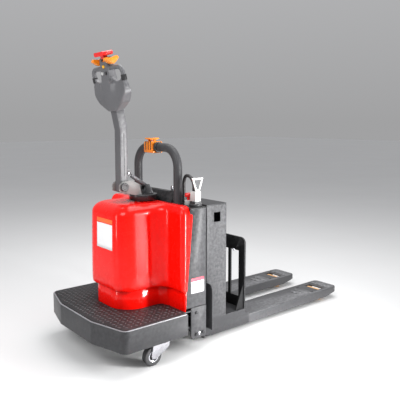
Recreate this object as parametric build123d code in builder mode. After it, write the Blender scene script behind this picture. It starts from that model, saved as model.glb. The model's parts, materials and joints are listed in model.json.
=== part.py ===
"""Electric pallet truck with a rider platform, in millimetres.

+X runs along the forks, +Y to the left of the forks, +Z up.  The origin is on the
floor, under the middle of the truck's length and width.
"""

from build123d import *
from math import cos, degrees, pi, radians, sin
import os

os.makedirs("parts", exist_ok=True)

# ---------------------------------------------------------------- overall sizes
fork_reach = 910.0          # front face of the backrest to the fork tips
body_length = 940.0         # front face of the backrest to the rear of the platform
platform_width = 792.0
body_width = 720.0          # over the side panels
battery_width = 600.0

# ---------------------------------------------------------------- forks
fork_spread = 570.0         # over both forks
fork_width = 188.0
fork_top_z = 80.0
fork_skin = 6.0             # top plate of the fork channel
fork_wall = 8.0
fork_height = 53.0
fork_tail = 250.0           # fork channel behind the front face of the backrest
heel_step = 1.0             # the channel is this much lower under the backrest
tip_round = 36.0

# ---------------------------------------------------------------- load wheels and linkage
lift_travel = 100.0
roller_radius = 36.5
roller_width = 108.0
roller_offset = 140.0       # roller axle behind the fork tip
load_arm_length = 150.0
load_pin_radius = 7.0
load_pin_z = 42.0
arm_lug = 20.0              # pivot to push-rod pin
rod_pin_radius = 3.2
rocker_lug = 16.7
rocker_arm = 115.0
rocker_z = 62.0
rocker_radius = 8.0
rocker_behind = 165.0       # rocker shaft behind the backrest face

# ---------------------------------------------------------------- carriage
backrest_top_z = 552.0
backrest_thickness = 10.0
tray_z = 130.0              # top of the battery tray
tray_plate = 6.0
rail_thickness = 12.0
battery_gap = 152.0         # backrest face to the battery case
battery_depth = 148.0
battery_top_z = 775.0
battery_wall = 4.0
carriage_plate = 8.0
carriage_top_z = 345.0

# ---------------------------------------------------------------- chassis
mast_gap = 45.0             # carriage plate to chassis front
bulkhead = 8.0
body_top_z = 774.0
turret_setback = 153.0      # steering axis behind the chassis front
base_z = 140.0              # underside of the chassis base plate
base_plate = 10.0
tower_half = 152.0
tower_top_z = 762.0
tower_plate = 12.0
tower_length = 252.0
panel_depth = 105.0
panel_sheet = 6.0
side_plate_bottom_z = 80.0
side_plate_top_z = 250.0

# ---------------------------------------------------------------- platform
deck_z = 238.0              # top of the steel deck
deck_sheet = 6.0
platform_bottom_z = 128.0
tread_thickness = 5.6
platform_corner = 38.0
platform_taper = 57.0       # how far the rear edge stands out in the middle
platform_flat = 170.0       # half length of the straight middle of the rear edge
wing_front = 150.0          # front ends of the platform sides behind the chassis front

# ---------------------------------------------------------------- hood
hood_sheet = 4.0
hood_top_z = 790.0
hood_seam_z = 342.0
hood_rear_offset = 262.0    # rear face of the hood behind the steering axis
hood_half = 188.0
hood_corner = 124.0
hood_flare = 95.0
hood_ridge = 30.0
hood_edge = 28.0
skirt_inset = 13.0
seam_gap = 2.0
panel_gap = 0.7

# ---------------------------------------------------------------- steering and drive
bearing_radius = 62.0
column_radius = 50.0
disc_radius = 78.0
disc_z = 793.0
disc_thickness = 33.0
drive_radius = 125.0
drive_width = 76.0
drive_tyre_thickness = 18.0
motor_radius = 72.0

# ---------------------------------------------------------------- tiller
pivot_x_offset = 147.0      # tiller pivot behind the steering axis
pivot_z = 875.0
pivot_pin_radius = 10.0
arm_width = 56.0
arm_depth = 47.0
arm_offset = 8.0            # arm centre line ahead of the pivot
tiller_travel = 70.0        # degrees
bracket_plate = 8.0
head_tilt = 14.5            # degrees
grip_radius = 12.0

# ---------------------------------------------------------------- arch bar
arch_x_offset = 58.0        # arch behind the chassis front
arch_half = 193.0
arch_top_z = 1080.0
arch_tube = 24.0
arch_bend = 108.0

# ---------------------------------------------------------------- casters
caster_radius = 50.0
caster_width = 34.0
caster_y = 329.0
caster_trail = 70.0
caster_setback = 260.0      # swivel axis behind the chassis front

# ---------------------------------------------------------------- battery plug and cable
plug_y = -310.0
cable_radius = 9.0
plug_top_z = 858.0

# ---------------------------------------------------------------- clearances
running_fit = 0.05          # radial, shafts in bores
clear = 0.3                 # faces that pass each other
open_gap = 2.0              # between fixed covers

# ---------------------------------------------------------------- derived places
tip_x = (fork_reach + body_length) / 2
backrest_x = tip_x - fork_reach
rear_x = backrest_x - body_length
battery_front_x = backrest_x - battery_gap
battery_rear_x = battery_front_x - battery_depth
plate_rear_x = battery_rear_x - open_gap - carriage_plate
front_x = plate_rear_x - mast_gap
bulkhead_x = front_x - bulkhead
turret_x = front_x - turret_setback
panel_rear_x = front_x - panel_depth
hood_rear_x = turret_x - hood_rear_offset
wing_x = front_x - wing_front
body_half = body_width / 2
battery_half = battery_width / 2
platform_half = platform_width / 2
fork_y = (fork_spread - fork_width) / 2
fork_bottom_z = fork_top_z - fork_height
pivot_x = turret_x - pivot_x_offset
arch_x = front_x - arch_x_offset
caster_x = front_x - caster_setback
base_top_z = base_z + base_plate


def block(x, y, z, mode=Mode.ADD):
    """A box between two values on each axis, added to the active part."""
    centre = tuple((low + high) / 2 for low, high in (x, y, z))
    with Locations(centre):
        Box(x[1] - x[0], y[1] - y[0], z[1] - z[0], mode=mode)


def bar(centre, radius, length, axis="Z", mode=Mode.ADD):
    """A round bar about one of the main axes, added to the active part."""
    turn = {"X": (0, 90, 0), "Y": (90, 0, 0), "Z": (0, 0, 0)}[axis]
    with Locations(centre):
        Cylinder(radius, length, rotation=turn, mode=mode)


def slab(points, y, mode=Mode.ADD, rounding=0.0):
    """A plate with an outline in X and Z, between two values of Y."""
    side = Plane(origin=(0, y[1], 0), x_dir=(1, 0, 0), z_dir=(0, -1, 0))
    with BuildSketch(side) as outline:
        with BuildLine():
            Polyline(*points, close=True)
        make_face()
        if rounding:
            fillet(outline.vertices(), rounding)
    extrude(outline.sketch, amount=y[1] - y[0], mode=mode)


def save(piece, name):
    """Label a finished piece and write it as a node of that name."""
    piece.part.label = name
    export_step(piece.part, f"parts/{name}.step")


# ================================================================ chassis
gland_centre = (arch_x + 46, -arch_half + 5)
base_rear_x = rear_x + 95
side_inner = platform_half - deck_sheet - open_gap * 4
tongue_y = (59.0, 69.0)
tongue_z = rocker_z + rocker_arm * sin(radians(25.8))
rocker_x = backrest_x - rocker_behind
tongue_pin_far = rocker_x - rocker_arm
tongue_pin_near = rocker_x - rocker_arm * cos(radians(25.8))
rocker_pin_radius = 6.0

with BuildPart() as chassis_frame:
    block((base_rear_x, wing_x - deck_sheet * 2), (-side_inner, side_inner), (base_z, base_top_z))
    block((wing_x - deck_sheet * 2, bulkhead_x), (-body_half + panel_sheet, body_half - panel_sheet), (base_z, base_top_z))
    block((bulkhead_x, front_x), (-body_half + panel_sheet, body_half - panel_sheet), (60, body_top_z))
    for side in (-1, 1):
        wall = sorted((side * tower_half, side * (tower_half + bulkhead)))
        block((bulkhead_x - tower_length, bulkhead_x), wall, (base_top_z, tower_top_z))
        rib = sorted((side * 300, side * 308))
        block((base_rear_x + 20, wing_x - 20), rib, (base_top_z, deck_z - deck_sheet))
        tongue = sorted((side * tongue_y[0], side * tongue_y[1]))
        block((front_x, tongue_pin_near + 14), tongue, (tongue_z - 11, tongue_z + 11))
        slot_x = (tongue_pin_far - rocker_pin_radius - 1.5, tongue_pin_near + rocker_pin_radius + 1.5)
        slot_z = (tongue_z - rocker_pin_radius - 1.2, tongue_z + rocker_pin_radius + 1.2)
        block(slot_x, tongue, slot_z, Mode.SUBTRACT)
    tower_y = tower_half + bulkhead
    block((bulkhead_x - tower_length, bulkhead_x), (-tower_y, tower_y), (tower_top_z, tower_top_z + tower_plate))
    bar((turret_x, 0, base_z + base_plate / 2), drive_radius + 25, base_plate * 2, mode=Mode.SUBTRACT)
    bar((turret_x, 0, tower_top_z), bearing_radius, tower_plate * 4, mode=Mode.SUBTRACT)
    bar((*gland_centre, body_top_z), cable_radius + 6, 200, mode=Mode.SUBTRACT)
save(chassis_frame, "chassis_frame")

with BuildPart() as steering_bearing:
    bearing_height = tower_plate + 8
    bar((turret_x, 0, tower_top_z + bearing_height / 2), bearing_radius, bearing_height)
    bar((turret_x, 0, tower_top_z + bearing_height / 2), column_radius + running_fit, bearing_height,
        mode=Mode.SUBTRACT)
save(steering_bearing, "steering_bearing")

with BuildPart() as side_plates:
    for side in (-1, 1):
        skin = sorted((side * (body_half - panel_sheet), side * (body_half + 2)))
        corner = panel_rear_x + 3
        slab([(corner, side_plate_top_z), (front_x, side_plate_top_z), (front_x, side_plate_bottom_z),
              (corner + 6, side_plate_bottom_z), (corner, side_plate_bottom_z + 18)], skin)
save(side_plates, "side_plates")

seam_slope = 23.0 / 417.0          # the panel's rear edge leans back towards the floor


def seam_x(z):
    """Rear edge of the side panels at height z."""
    return panel_rear_x - (body_top_z - z) * seam_slope


with BuildPart() as side_panels:
    panel_bottom_z = side_plate_top_z + open_gap
    for side in (-1, 1):
        skin = sorted((side * (body_half - panel_sheet), side * body_half))
        slab([(panel_rear_x, body_top_z), (front_x, body_top_z), (front_x, panel_bottom_z),
              (seam_x(panel_bottom_z), panel_bottom_z)], skin)
save(side_panels, "side_panels")

top_sheet = 6.0
top_deck_z = body_top_z + top_sheet
connector_x = arch_x + 28
with BuildPart() as top_deck:
    block((panel_rear_x, front_x + 6), (-body_half, body_half), (body_top_z, top_deck_z))
    fillet(top_deck.edges().filter_by(Axis.Z), 6)
    fillet(top_deck.faces().sort_by(Axis.Z)[-1].edges(), 3)
    bar((*gland_centre, top_deck_z), cable_radius + 5, top_sheet * 4, mode=Mode.SUBTRACT)
    bar((turret_x, 0, top_deck_z), disc_radius + 4, top_sheet * 4, mode=Mode.SUBTRACT)
save(top_deck, "top_deck")


# ---------------------------------------------------------------- platform
def platform_outline(inset):
    """Half outline of the platform, from the middle of the rear edge forward."""
    outer = platform_half - inset
    corner_x = rear_x + platform_taper + inset
    return [(rear_x + inset, 0), (rear_x + inset, platform_flat), (corner_x, outer),
            (wing_x - inset, outer), (wing_x - inset, body_half + 2), (panel_rear_x, body_half + 2)]


def platform_face(inset, plane):
    """The platform's plan as a face on a plane."""
    with BuildSketch(plane) as plan:
        with BuildLine():
            half = platform_outline(inset)
            run = FilletPolyline(*half[:4], radius=[60, max(platform_corner - inset, 4)])
            Polyline(*half[3:], (half[-1][0], 0))
            mirror(about=Plane.XZ)
        make_face()
    return plan.sketch


def hood_face(inset, plane, rear, half_width, ridge_x, flare, ridge, front):
    """The hood's plan as a face on a plane: rounded rear, hollow flanks, flared front."""
    band = body_half - inset
    with BuildSketch(plane) as plan:
        with BuildLine():
            FilletPolyline((rear + inset, 0), (rear + inset, half_width - inset),
                           (ridge_x + inset, half_width - inset), (ridge_x + inset, band), (front, band),
                           radius=[hood_corner - inset, flare + inset, max(ridge - inset, 3)])
            Line((front, band), (front, 0))
            mirror(about=Plane.XZ)
        make_face()
    return plan.sketch


skirt_rear_x = hood_rear_x + skirt_inset
skirt_half = hood_half - skirt_inset
skirt_ridge_x = wing_x + 8
skirt_front_x = seam_x(hood_seam_z) + 2
ridge_x = wing_x - 10


def skirt_plan(inset, plane):
    return hood_face(inset, plane, skirt_rear_x, skirt_half, skirt_ridge_x, 45, 9, panel_rear_x)


def hood_plan(inset, plane):
    return hood_face(inset, plane, hood_rear_x, hood_half, ridge_x, hood_flare, hood_ridge, panel_rear_x)


with BuildPart() as platform_deck:
    extrude(platform_face(0, Plane.XY.offset(platform_bottom_z)), amount=deck_z - platform_bottom_z)
    extrude(platform_face(deck_sheet, Plane.XY.offset(platform_bottom_z)),
            amount=deck_z - platform_bottom_z - deck_sheet, mode=Mode.SUBTRACT)
    # nothing closes the front under the hood
    block((wing_x - deck_sheet, panel_rear_x), (-body_half + 10, body_half - 10),
          (platform_bottom_z, deck_z - deck_sheet), Mode.SUBTRACT)
    extrude(skirt_plan(10, Plane.XY.offset(deck_z - deck_sheet)), amount=deck_sheet, mode=Mode.SUBTRACT)
save(platform_deck, "platform_deck")

with BuildPart() as platform_tread:
    extrude(platform_face(9, Plane.XY.offset(deck_z)), amount=tread_thickness)
    extrude(skirt_plan(-open_gap, Plane.XY.offset(deck_z)), amount=tread_thickness, mode=Mode.SUBTRACT)
    block((wing_x - 9, panel_rear_x + 1), (-body_half - 4, body_half + 4), (deck_z, deck_z + tread_thickness),
          Mode.SUBTRACT)
save(platform_tread, "platform_tread")

# ---------------------------------------------------------------- hood
seam_cut = [(seam_x(900) - panel_gap, 900), (seam_x(200) - panel_gap, 200), (front_x, 200), (front_x, 900)]

with BuildPart() as hood_skirt:
    extrude(skirt_plan(0, Plane.XY.offset(deck_z)), amount=hood_seam_z - deck_z)
    extrude(skirt_plan(hood_sheet, Plane.XY.offset(deck_z)), amount=hood_seam_z - deck_z, mode=Mode.SUBTRACT)
    slab(seam_cut, (-body_half, body_half), Mode.SUBTRACT)
save(hood_skirt, "hood_skirt")

with BuildPart() as hood_core:
    extrude(hood_plan(hood_sheet, Plane.XY.offset(hood_seam_z)), amount=hood_top_z - hood_sheet - hood_seam_z)
    inner_crown = hood_core.faces().sort_by(Axis.Z)[-1].edges().sort_by(Axis.X)[:-1]
    fillet(inner_crown, hood_edge - hood_sheet)

with BuildPart() as hood_shell:
    extrude(hood_plan(0, Plane.XY.offset(hood_seam_z + seam_gap)), amount=hood_top_z - hood_seam_z - seam_gap)
    crown = hood_shell.faces().sort_by(Axis.Z)[-1].edges().sort_by(Axis.X)[:-1]
    fillet(crown, hood_edge)
    add(hood_core.part, mode=Mode.SUBTRACT)
    slab(seam_cut, (-body_half, body_half), Mode.SUBTRACT)
    bar((turret_x, 0, hood_top_z), bearing_radius + 4, 40, mode=Mode.SUBTRACT)
save(hood_shell, "hood_shell")

# ---------------------------------------------------------------- hydraulics and electrics
tank_x = hood_rear_x + 80
with BuildPart() as hydraulic_unit:
    block((tank_x - 40, tank_x + 40), (5, 115), (base_top_z, 400))
    fillet(hydraulic_unit.edges().filter_by(Axis.Z), 10)
    bar((tank_x, 85, 406), 14, 12)
    bar((tank_x, -62, (base_top_z + 380) / 2), 42, 380 - base_top_z)
    block((tank_x - 28, tank_x + 28), (-62, 6), (base_top_z, 230))
save(hydraulic_unit, "hydraulic_unit")

with BuildPart() as controller:
    block((bulkhead_x - 10, bulkhead_x), (-145, 145), (470, 700))
    block((bulkhead_x - 30, bulkhead_x - 10), (-130, 130), (484, 686))
    with Locations((bulkhead_x - 30, 0, 585)):
        with GridLocations(6, 24, 1, 9):
            Box(6, 4, 180)
save(controller, "controller")

cylinder_y = 115.0
cylinder_radius = 20.0
ram_radius = 12.5
cylinder_x = front_x + cylinder_radius + 1.5
cylinder_bottom_z = 110.0
cylinder_top_z = 300.0
crosshead_z = 320.0
with BuildPart() as lift_cylinders:
    for side in (-1, 1):
        centre = (cylinder_x, side * cylinder_y, (cylinder_bottom_z + cylinder_top_z) / 2)
        bar(centre, cylinder_radius, cylinder_top_z - cylinder_bottom_z)
        bore = (cylinder_x, side * cylinder_y, (cylinder_bottom_z + cylinder_top_z) / 2 + 6)
        bar(bore, ram_radius + running_fit, cylinder_top_z - cylinder_bottom_z - 12, mode=Mode.SUBTRACT)
        foot = (side * cylinder_y - 18, side * cylinder_y + 18)
        block((front_x, cylinder_x), foot, (cylinder_bottom_z - 14, cylinder_bottom_z))
save(lift_cylinders, "lift_cylinders")

with BuildPart() as lift_rams:
    ram_bottom_z = cylinder_bottom_z + 14
    for side in (-1, 1):
        centre = (cylinder_x, side * cylinder_y, (ram_bottom_z + crosshead_z) / 2)
        bar(centre, ram_radius, crosshead_z - ram_bottom_z)
save(lift_rams, "lift_rams")

guide_y = 230.0
guide_half = 25.0
guide_sheet = 5.0
with BuildPart() as guide_channels:
    for side in (-1, 1):
        centre = side * guide_y
        span = (centre - guide_half, centre + guide_half)
        block((front_x, front_x + guide_sheet), span, (100, 470))
        block((front_x, plate_rear_x - 10), (span[0], span[0] + guide_sheet), (100, 470))
        block((front_x, plate_rear_x - 10), (span[1] - guide_sheet, span[1]), (100, 470))
save(guide_channels, "guide_channels")

# ---------------------------------------------------------------- console, arch and controls
console_half = 145.0
console_rear_x = turret_x + disc_radius + 7
console_top_z = 838.0
key_y = -105.0
key_z = 806.0
with BuildPart() as console:
    slab([(console_rear_x, top_deck_z), (console_rear_x, 788), (console_rear_x + 26, console_top_z),
          (front_x - 8, console_top_z), (front_x - 2, top_deck_z)], (-console_half, console_half))
    fillet(console.edges().filter_by(Axis.Y).sort_by(Axis.Z)[-2:], 5)
    bar((front_x - 32, key_y, console_top_z), 8 + running_fit, 24, mode=Mode.SUBTRACT)
    with Locations((front_x - 30, 60, console_top_z)):
        Box(26, 52, 3, mode=Mode.SUBTRACT)
save(console, "console")

with BuildPart() as key_switch:
    bar((front_x - 32, key_y, console_top_z - 4), 8, 14)
    bar((front_x - 32, key_y, console_top_z + 2.5), 12, 5)
    bar((front_x - 32, key_y, console_top_z), 5.2, 12, mode=Mode.SUBTRACT)
save(key_switch, "key_switch")

with BuildPart() as ignition_key:
    block((front_x - 32.9, front_x - 31.1), (key_y - 4.6, key_y + 4.6), (console_top_z - 5, console_top_z + 9))
    block((front_x - 33.5, front_x - 30.5), (key_y - 10, key_y + 10), (console_top_z + 9, console_top_z + 30))
    fillet(ignition_key.edges().filter_by(Axis.X).sort_by(Axis.Z)[-2:], 6)
    bar((front_x - 32, key_y, console_top_z + 23), 3, 12, "X", Mode.SUBTRACT)
save(ignition_key, "ignition_key")

with BuildPart() as arch_bar:
    with BuildLine(Plane.YZ.offset(arch_x)) as arch_path:
        FilletPolyline((-arch_half, top_deck_z), (-arch_half, arch_top_z), (arch_half, arch_top_z),
                       (arch_half, top_deck_z), radius=arch_bend)
    with BuildSketch(Plane(origin=(arch_x, -arch_half, top_deck_z), z_dir=(0, 0, 1))):
        Circle(arch_tube)
    sweep(path=arch_path.line)
    for side in (-1, 1):
        bar((arch_x, side * arch_half, top_deck_z + 4), arch_tube + 3, 8)
save(arch_bar, "arch_bar")

pod_y = (-6.0, 82.0)
pod_half = 33.0
pod_top_z = arch_top_z + 32
rocker_middle = (pod_y[0] + pod_y[1]) / 2 + 10
with BuildPart() as arch_pod:
    block((arch_x - pod_half, arch_x + pod_half), pod_y, (arch_top_z - 33, pod_top_z))
    fillet(arch_pod.edges().filter_by(Axis.Y), 10)
    bar((arch_x, sum(pod_y) / 2, arch_top_z), arch_tube, pod_y[1] - pod_y[0], "Y", Mode.SUBTRACT)
    for ear_y in (rocker_middle - 29, rocker_middle + 24.3):
        block((arch_x - 8, arch_x + 8), (ear_y, ear_y + 4.7), (pod_top_z - 2, pod_top_z + 15))
    bar((arch_x, rocker_middle, pod_top_z + 8), 5 + running_fit, 58, "Y", Mode.SUBTRACT)
save(arch_pod, "arch_pod")

with BuildPart() as arch_rocker:
    rocker_span = (rocker_middle - 24, rocker_middle + 24)
    slab([(arch_x - 34, pod_top_z + 14), (arch_x - 30, pod_top_z + 20), (arch_x, pod_top_z + 15),
          (arch_x + 28, pod_top_z + 20), (arch_x + 32, pod_top_z + 14), (arch_x, pod_top_z + 5)], rocker_span)
    bar((arch_x, rocker_middle, pod_top_z + 8), 5, 58, "Y")
save(arch_rocker, "arch_rocker")

estop_centre = (front_x - 30, -250.0)
estop_base_z = 805.0
with BuildPart() as estop_base:
    bar((*estop_centre, (top_deck_z + estop_base_z) / 2), 21, estop_base_z - top_deck_z)
    fillet(estop_base.faces().sort_by(Axis.Z)[-1].edges(), 3)
    bar((*estop_centre, estop_base_z), 8 + running_fit, 30, mode=Mode.SUBTRACT)
save(estop_base, "estop_base")

with BuildPart() as estop_button:
    bar((*estop_centre, estop_base_z + 6), 8, 24)
    bar((*estop_centre, estop_base_z + 28), 20, 20)
    fillet(estop_button.faces().sort_by(Axis.Z)[-1].edges(), 7)
save(estop_button, "estop_button")

# ---------------------------------------------------------------- battery plug
socket_top_z = 806.0
with BuildPart() as connector_base:
    bar((connector_x, plug_y, top_deck_z + 6), 34, 12)
    fillet(connector_base.faces().sort_by(Axis.Z)[-1].edges(), 3)
    block((connector_x - 21, connector_x + 21), (plug_y - 23, plug_y + 23), (top_deck_z + 6, socket_top_z))
save(connector_base, "connector_base")

with BuildPart() as cable_gland:
    bar((*gland_centre, top_deck_z - 1), cable_radius + 5, 10)
    bar((*gland_centre, top_deck_z + 2), cable_radius + 7, 4)
    bar((*gland_centre, top_deck_z), cable_radius + 3, 20, mode=Mode.SUBTRACT)
save(cable_gland, "cable_gland")

cable_exit_y = plug_y + 13
with BuildPart() as battery_plug:
    plug_x = (connector_x - 20, connector_x + 20)
    block(plug_x, (plug_y - 22, plug_y + 22), (socket_top_z + clear, plug_top_z))
    fillet(battery_plug.edges().filter_by(Axis.Z), 4)
    bar((connector_x, cable_exit_y, plug_top_z - 6), cable_radius, 14, mode=Mode.SUBTRACT)
    handle_y = (plug_y - 20, plug_y - 12)
    slab([(connector_x - 12, plug_top_z), (connector_x - 37, plug_top_z + 72), (connector_x + 37, plug_top_z + 72),
          (connector_x + 12, plug_top_z)], handle_y)
    slab([(connector_x - 8, plug_top_z + 12), (connector_x - 25, plug_top_z + 62),
          (connector_x + 25, plug_top_z + 62), (connector_x + 8, plug_top_z + 12)], handle_y, Mode.SUBTRACT)
save(battery_plug, "battery_plug")

cable_points = [
    (connector_x, cable_exit_y, 852),
    (connector_x, cable_exit_y, 900),
    (connector_x + 4, -262, 934),
    (connector_x + 10, -212, 934),
    (gland_centre[0], gland_centre[1] + 1, 898),
    (gland_centre[0], gland_centre[1] - 1, 806),
    (gland_centre[0] - 1, gland_centre[1] + 2, 718),
]


def bend_radii(points):
    """The largest arc that each corner's two runs leave room for."""
    radii = []
    for before, corner, after in zip(points, points[1:], points[2:]):
        into, out = Vector(*corner) - Vector(*before), Vector(*after) - Vector(*corner)
        shorter = min(into.length, out.length)
        radii.append(0.45 * shorter / max(sin(radians(into.get_angle(out) / 2)), 1e-6)
                     * cos(radians(into.get_angle(out) / 2)))
    return radii


cable_radii = bend_radii(cable_points)
print("battery cable radii", [round(radius) for radius in cable_radii])
with BuildPart() as battery_cable:
    with BuildLine() as cable_path:
        FilletPolyline(*cable_points, radius=cable_radii)
    with BuildSketch(Plane(origin=cable_points[0], z_dir=(0, 0, 1))):
        Circle(cable_radius)
    sweep(path=cable_path.line)
cable_length = sum(edge.length for edge in cable_path.edges())
print("battery cable length", round(cable_length),
      "volume ratio", round(battery_cable.part.volume / (cable_length * pi * cable_radius**2), 3))
save(battery_cable, "battery_cable")

with BuildPart() as chassis_bolts:
    for side in (-1, 1):
        for x, z in ((panel_rear_x + 38, 104), (front_x - 22, 104), (panel_rear_x + 38, 220)):
            bar((x, side * (body_half + 2 + 4), z), 8, 8, "Y")
save(chassis_bolts, "chassis_bolts")

# ================================================================ turret
gearbox_top_z = 300.0
motor_top_z = 640.0
with BuildPart() as drive_gearbox:
    bar((turret_x, 0, gearbox_top_z - 17), 92, 34)
    leg = (drive_width / 2 + 8, drive_width / 2 + 44)
    block((turret_x - 52, turret_x + 52), leg, (drive_radius, gearbox_top_z - 34))
    bar((turret_x, sum(leg) / 2, drive_radius), 52, leg[1] - leg[0], "Y")
    bar((turret_x, 0, drive_radius), 18, leg[1] * 2, "Y")
    block((turret_x - 60, turret_x + 60), (-leg[1], -5), (drive_radius - 60, drive_radius + 60), Mode.SUBTRACT)
    bar((turret_x, 5, drive_radius), 18, leg[0] * 2 - 10, "Y")
save(drive_gearbox, "drive_gearbox")

with BuildPart() as traction_motor:
    bar((turret_x, 0, (gearbox_top_z + motor_top_z) / 2), motor_radius, motor_top_z - gearbox_top_z)
    bar((turret_x, 0, motor_top_z + 25), motor_radius - 14, 50)
save(traction_motor, "traction_motor")

with BuildPart() as steering_column:
    column_bottom_z = motor_top_z + 50
    bar((turret_x, 0, (column_bottom_z + disc_z) / 2), column_radius, disc_z - column_bottom_z)
save(steering_column, "steering_column")

disc_top_z = disc_z + disc_thickness
anchor_x = turret_x + 18
anchor_z = disc_top_z + 42
with BuildPart() as turret_disc:
    bar((turret_x, 0, disc_z + disc_thickness / 2), disc_radius, disc_thickness)
    fillet(turret_disc.faces().sort_by(Axis.Z)[-1].edges(), 4)
    with BuildSketch(Plane.XY.offset(disc_top_z)):
        with Locations((anchor_x, 0)):
            Rectangle(66, 56)
    with BuildSketch(Plane.XY.offset(anchor_z + 8)):
        with Locations((anchor_x, 0)):
            Rectangle(24, 34)
    loft()
    block((anchor_x - 40, anchor_x + 20), (-6.5, 6.5), (disc_top_z + 22, anchor_z + 12), Mode.SUBTRACT)
    block((anchor_x - 40, anchor_x - 5), (-13, 13), (disc_top_z + 22, anchor_z + 12), Mode.SUBTRACT)
    bar((anchor_x, 0, anchor_z), 5, 30, "Y")
save(turret_disc, "turret_disc")

bracket_inner = arm_width / 2 + 3
bracket_outer = bracket_inner + bracket_plate
with BuildPart() as tiller_bracket:
    for side in (-1, 1):
        plate_y = sorted((side * bracket_inner, side * bracket_outer))
        slab([(pivot_x - 28, pivot_z - 22), (pivot_x - 28, pivot_z + 12), (pivot_x - 6, pivot_z + 30),
              (pivot_x + 48, pivot_z + 33), (pivot_x + 96, pivot_z + 10), (pivot_x + 112, disc_top_z),
              (pivot_x + 70, disc_top_z), (pivot_x + 14, pivot_z - 36)], plate_y)
    block((pivot_x + 72, pivot_x + 108), (-bracket_outer, bracket_outer), (disc_top_z, disc_top_z + 8))
    block((pivot_x + 48, pivot_x + 78), (-bracket_outer, bracket_outer), (pivot_z + 4, pivot_z + 8))
    bar((pivot_x, 0, pivot_z), pivot_pin_radius, bracket_outer * 2 + 12, "Y")
save(tiller_bracket, "tiller_bracket")

# ---------------------------------------------------------------- drive wheel
with BuildPart() as drive_wheel:
    bar((turret_x, 0, drive_radius), drive_radius - drive_tyre_thickness, drive_width, "Y")
    bar((turret_x, 0, drive_radius), 18 + running_fit, drive_width, "Y", Mode.SUBTRACT)
save(drive_wheel, "drive_wheel")

with BuildPart() as drive_tyre:
    bar((turret_x, 0, drive_radius), drive_radius, drive_width, "Y")
    bar((turret_x, 0, drive_radius), drive_radius - drive_tyre_thickness, drive_width, "Y", Mode.SUBTRACT)
save(drive_tyre, "drive_tyre")

# ================================================================ tiller
arm_x = pivot_x + arm_offset
arm_front_x = arm_x + arm_depth / 2
arm_rear_x = arm_x - arm_depth / 2
arm_bend_z = 1192.0
neck = (pivot_x - 12, 1270.0)
spring_lug_z = 945.0
spring_lug_x = arm_front_x + 14
slot_radius = 12.5
head_bottom = 12.0


def arm_end_z(ahead):
    """Height of the head's underside at a distance ahead of the neck."""
    return neck[1] + (head_bottom + ahead * sin(radians(head_tilt))) / cos(radians(head_tilt))


with BuildPart() as tiller_arm:
    slab([(arm_rear_x, pivot_z - 22), (arm_front_x, pivot_z - 22), (arm_front_x, arm_bend_z),
          (neck[0] + 23, arm_end_z(23)), (neck[0] - 23, arm_end_z(-23)), (arm_rear_x, arm_bend_z - 4)],
         (-arm_width / 2, arm_width / 2))
    fillet(tiller_arm.edges().filter_by(Axis.Z), 5)
    for side in (-1, 1):
        groove = sorted((side * (arm_width / 2 - 2), side * arm_width / 2))
        block((arm_x - 3, arm_x + 3), groove, (pivot_z + 60, arm_bend_z - 30), Mode.SUBTRACT)
        ear = sorted((side * 6.5, side * 12.5))
        slab([(arm_front_x, spring_lug_z - 24), (spring_lug_x + 16, spring_lug_z - 15),
              (spring_lug_x + 16, spring_lug_z + 15), (arm_front_x, spring_lug_z + 26)], ear)
        bar((spring_lug_x, side * 9.5, spring_lug_z), slot_radius, 6, "Y", Mode.SUBTRACT)
    bar((pivot_x, 0, pivot_z), pivot_pin_radius + running_fit, arm_width, "Y", Mode.SUBTRACT)
save(tiller_arm, "tiller_arm")

head_plane = Plane(origin=(neck[0], 0, neck[1]), x_dir=(0, 1, 0),
                   z_dir=(cos(radians(head_tilt)), 0, sin(radians(head_tilt))))


def on_head(across, up, out=0.0):
    """A point given in the handle head's own directions."""
    return head_plane.from_local_coords((across, up, out))


head_half = 28.0
column_half = 38.0
head_side = 154.0
loop_across = 146.0
loop_top = 236.0
shoulder_up = 162.0
paddle_up = 271.0
button_up = {"lift_button": (18, 212), "lower_button": (-18, 212), "horn_button": (0, 246)}
button_radius = 8.0
button_depth = 10.0
belly_seat_up = 292.0
belly_depth = 18.0
belly_travel = 7.0
face_slope = 0.14           # the column thins towards its top


def face_out(up):
    """Rear face of the head at a height, measured out from its middle plane."""
    return -head_half + max(0, up - shoulder_up) * face_slope


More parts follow.
